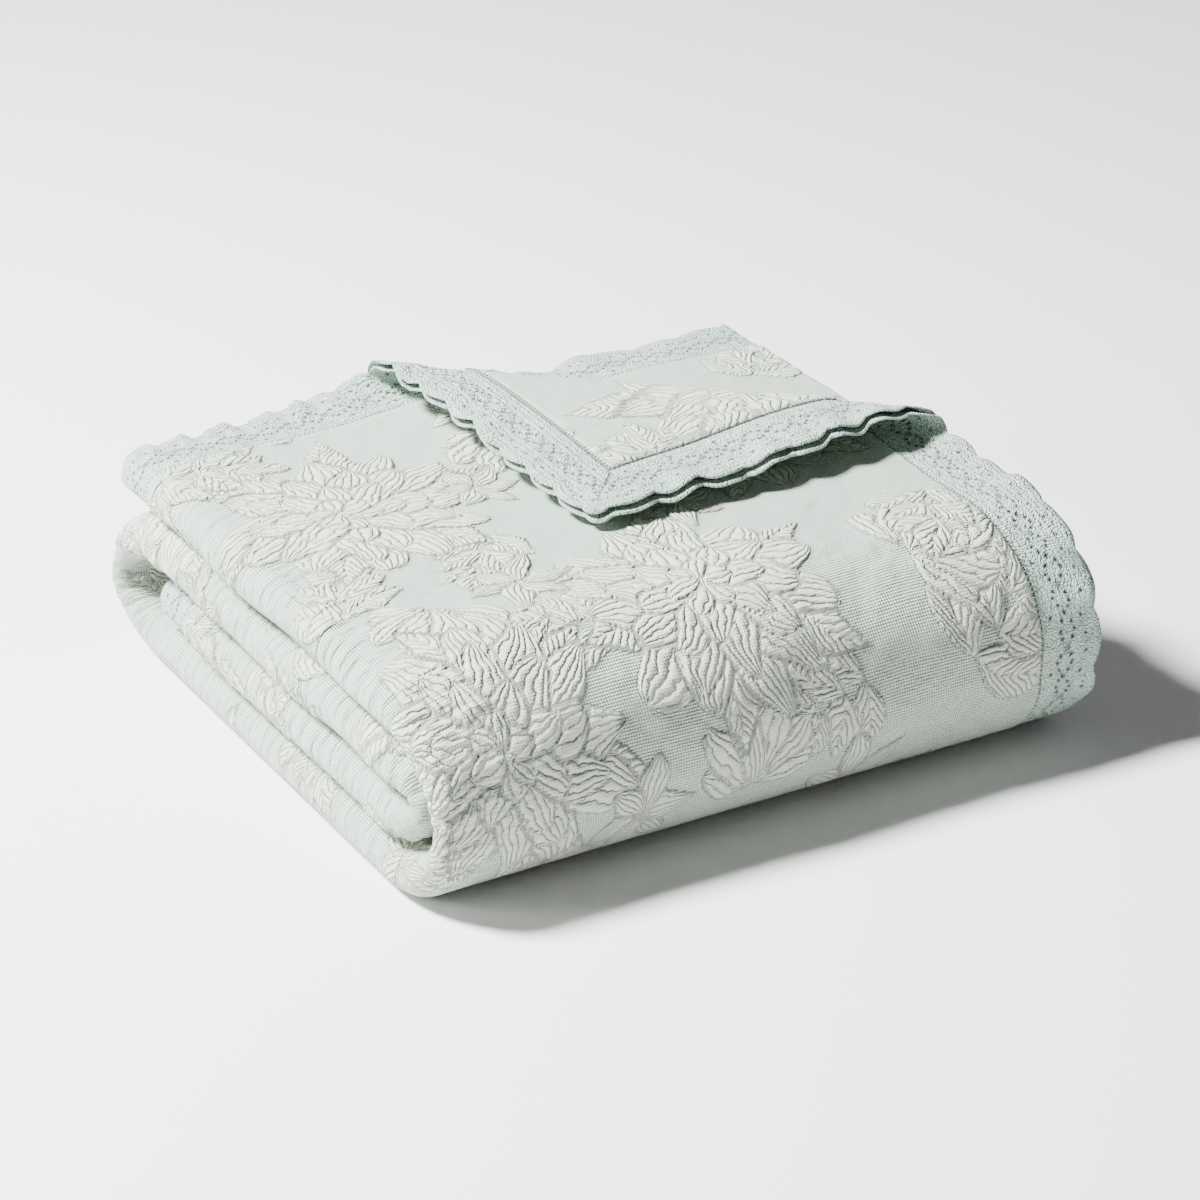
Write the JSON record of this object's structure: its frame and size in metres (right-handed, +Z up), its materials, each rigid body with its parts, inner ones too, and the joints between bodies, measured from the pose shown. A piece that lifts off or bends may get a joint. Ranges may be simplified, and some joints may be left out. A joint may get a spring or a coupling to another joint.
{
  "type": "bedspread",
  "caption": "Folded quilted cotton bedspread with a scalloped crochet lace border and one corner turned back on the top.",
  "frame": {"origin": "on the surface the folded bedspread lies on, under the middle of its bounding box", "axes": "+X towards the free lace edges on the right, +Y towards the back where the outer end of the cloth lies, +Z up"},
  "size_m": [0.5796, 0.5596, 0.2173],
  "materials": {
    "quilted_cotton": "matt quilted cotton with puffed flowers",
    "crochet_lace": "matt crocheted cotton"
  },
  "bodies": {
    "root": {"cover": "quilted_cotton", "lace_first_side": "crochet_lace", "lace_second_side": "crochet_lace", "lace_outer_end": "crochet_lace", "lace_inner_end": "crochet_lace"}
  },
  "joints": []
}
